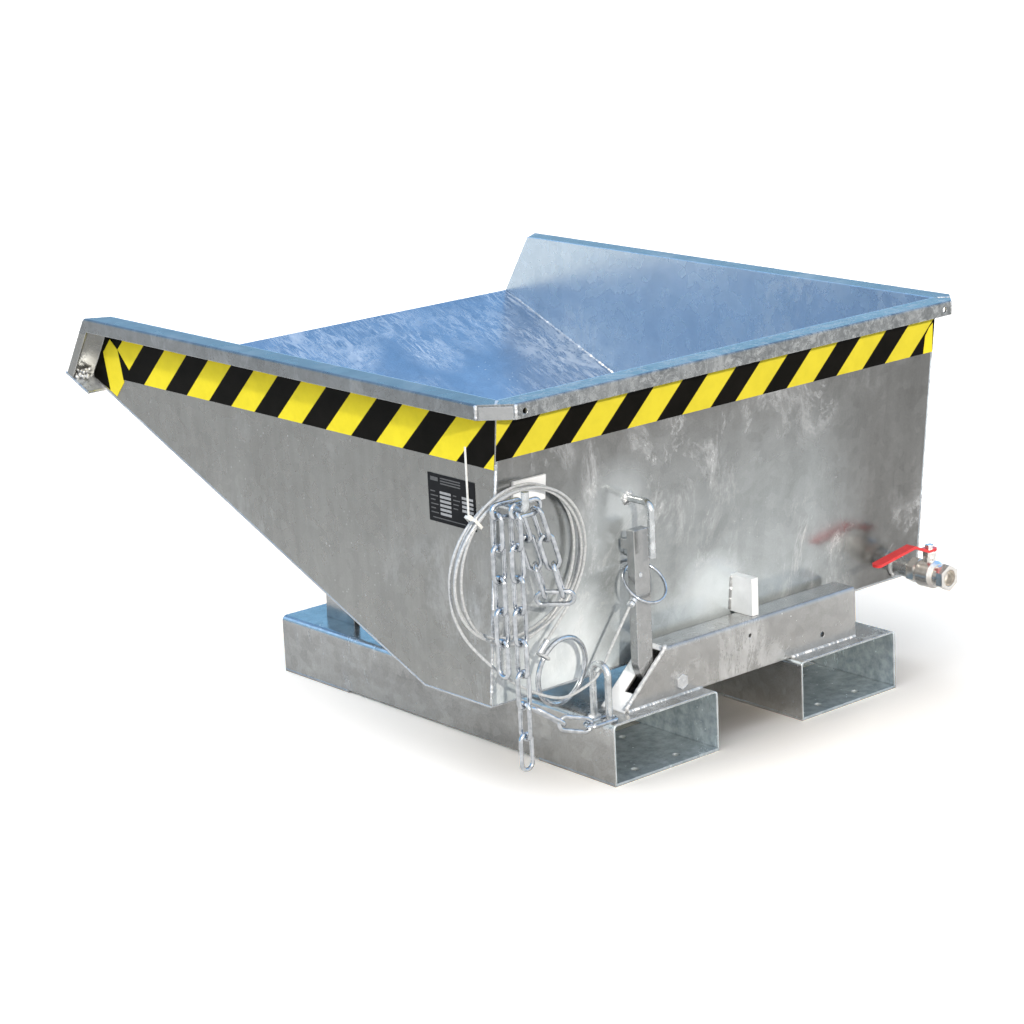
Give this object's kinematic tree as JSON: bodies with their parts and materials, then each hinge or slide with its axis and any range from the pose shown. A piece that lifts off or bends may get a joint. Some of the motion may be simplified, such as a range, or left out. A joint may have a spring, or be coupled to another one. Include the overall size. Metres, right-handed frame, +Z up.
{
  "type": "tipping skip",
  "caption": "Low galvanised tipping skip on a fork-lift base, with lock lever, pull cable, safety chain and a drain ball valve at the rear.",
  "frame": {"origin": "on the ground under the middle of the skip, leaving out the cable coil that hangs over the side", "axes": "+Z up, +Y towards the pouring lip, +X to the right when standing behind the skip and facing the lip"},
  "size_m": [0.9289, 1.0254, 0.538],
  "materials": {
    "galvanised_steel": "hot-dip galvanised, spangled",
    "zinc_plated_steel": "bright zinc plated",
    "chain_zinc": "bright zinc plated",
    "coated_cable": "wire rope in clear plastic",
    "nickel_plated_brass": "satin nickel",
    "valve_seat_plastic": "white",
    "red_vinyl": "red vinyl dipped steel",
    "cable_tie_plastic": "natural nylon",
    "bronze_bush": "plain",
    "hazard_tape": "yellow and black stripes",
    "name_plate": "blank printed plate"
  },
  "bodies": {
    "base": {"fork_pocket_left": "galvanised_steel", "fork_pocket_right": "galvanised_steel", "rear_strap_left": "galvanised_steel", "rear_strap_right": "galvanised_steel", "front_strap_left": "galvanised_steel", "front_strap_right": "galvanised_steel", "cross_channel": "galvanised_steel", "hinge_lug_left": "galvanised_steel", "hinge_lug_right": "galvanised_steel", "tipping_axle": "zinc_plated_steel", "axle_washers": "zinc_plated_steel", "axle_split_pins": "zinc_plated_steel", "cable_guide_loop": "galvanised_steel", "lever_pivot_bolt": "zinc_plated_steel", "lever_pivot_nut": "zinc_plated_steel", "lever_spacers": "zinc_plated_steel", "chain_tail": "chain_zinc", "pull_cable_lead": "coated_cable", "pull_cable_run": "coated_cable"},
    "skip": {"left_side_sheet": "galvanised_steel", "right_side_sheet": "galvanised_steel", "rear_sheet": "galvanised_steel", "floor_sheet": "galvanised_steel", "rim_corner_left": "galvanised_steel", "rim_corner_right": "galvanised_steel", "hinge_ear_left": "galvanised_steel", "hinge_ear_right": "galvanised_steel", "hinge_bush_left": "bronze_bush", "hinge_bush_right": "bronze_bush", "rest_lug": "galvanised_steel", "lever_keeper": "galvanised_steel", "catch_pin": "galvanised_steel", "wall_plate": "galvanised_steel", "hanger_hook": "galvanised_steel", "chain_bundle": "chain_zinc", "pull_cable_coil": "coated_cable", "pull_cable_tail": "coated_cable", "cable_ferrule": "zinc_plated_steel", "cable_eye": "coated_cable", "cable_tie": "cable_tie_plastic", "pull_ring": "zinc_plated_steel", "drain_nipple": "galvanised_steel", "valve_body": "nickel_plated_brass", "valve_outlet": "nickel_plated_brass", "valve_seats": "valve_seat_plastic", "packing_nut": "nickel_plated_brass", "hazard_tape_left": "hazard_tape", "hazard_tape_right": "hazard_tape", "hazard_tape_rear": "hazard_tape", "name_plate": "name_plate"},
    "lock_lever": {"lock_lever": "galvanised_steel", "ring_pin": "zinc_plated_steel"},
    "release_ring": {"release_ring": "zinc_plated_steel", "cable_clamps": "zinc_plated_steel"},
    "valve_handle": {"valve_handle": "red_vinyl", "valve_stem": "nickel_plated_brass", "valve_ball": "nickel_plated_brass", "handle_nut": "zinc_plated_steel"},
    "chain_end": {"chain_free_end": "chain_zinc"}
  },
  "joints": [
    {"name": "skip_tip", "type": "hinge", "parent": "base", "child": "skip", "pos_m": [0, 0.153, 0.25], "axis": [-1, 0, 0], "range_deg": [0, 65], "deforming": ["pull_cable_run"]},
    {"name": "lock_lever_swing", "type": "hinge", "parent": "base", "child": "lock_lever", "pos_m": [-0.128, -0.452, 0.106], "axis": [0, 1, 0], "range_deg": [-14, 4], "deforming": ["pull_cable_lead"]},
    {"name": "release_ring_swing", "type": "hinge", "parent": "lock_lever", "child": "release_ring", "pos_m": [-0.185, -0.43171, 0.27029], "axis": [1, 0, 0], "range_deg": [-20, 0], "deforming": ["pull_cable_lead"]},
    {"name": "valve_handle_turn", "type": "hinge", "parent": "skip", "child": "valve_handle", "pos_m": [0.36, -0.47474, 0.147], "axis": [0, 0, 1], "range_deg": [0, 90]},
    {"name": "chain_end_swing", "type": "hinge", "parent": "skip", "child": "chain_end", "pos_m": [-0.415, -0.48494, 0.23605], "axis": [0, 1, 0], "range_deg": [-10, 10]}
  ]
}
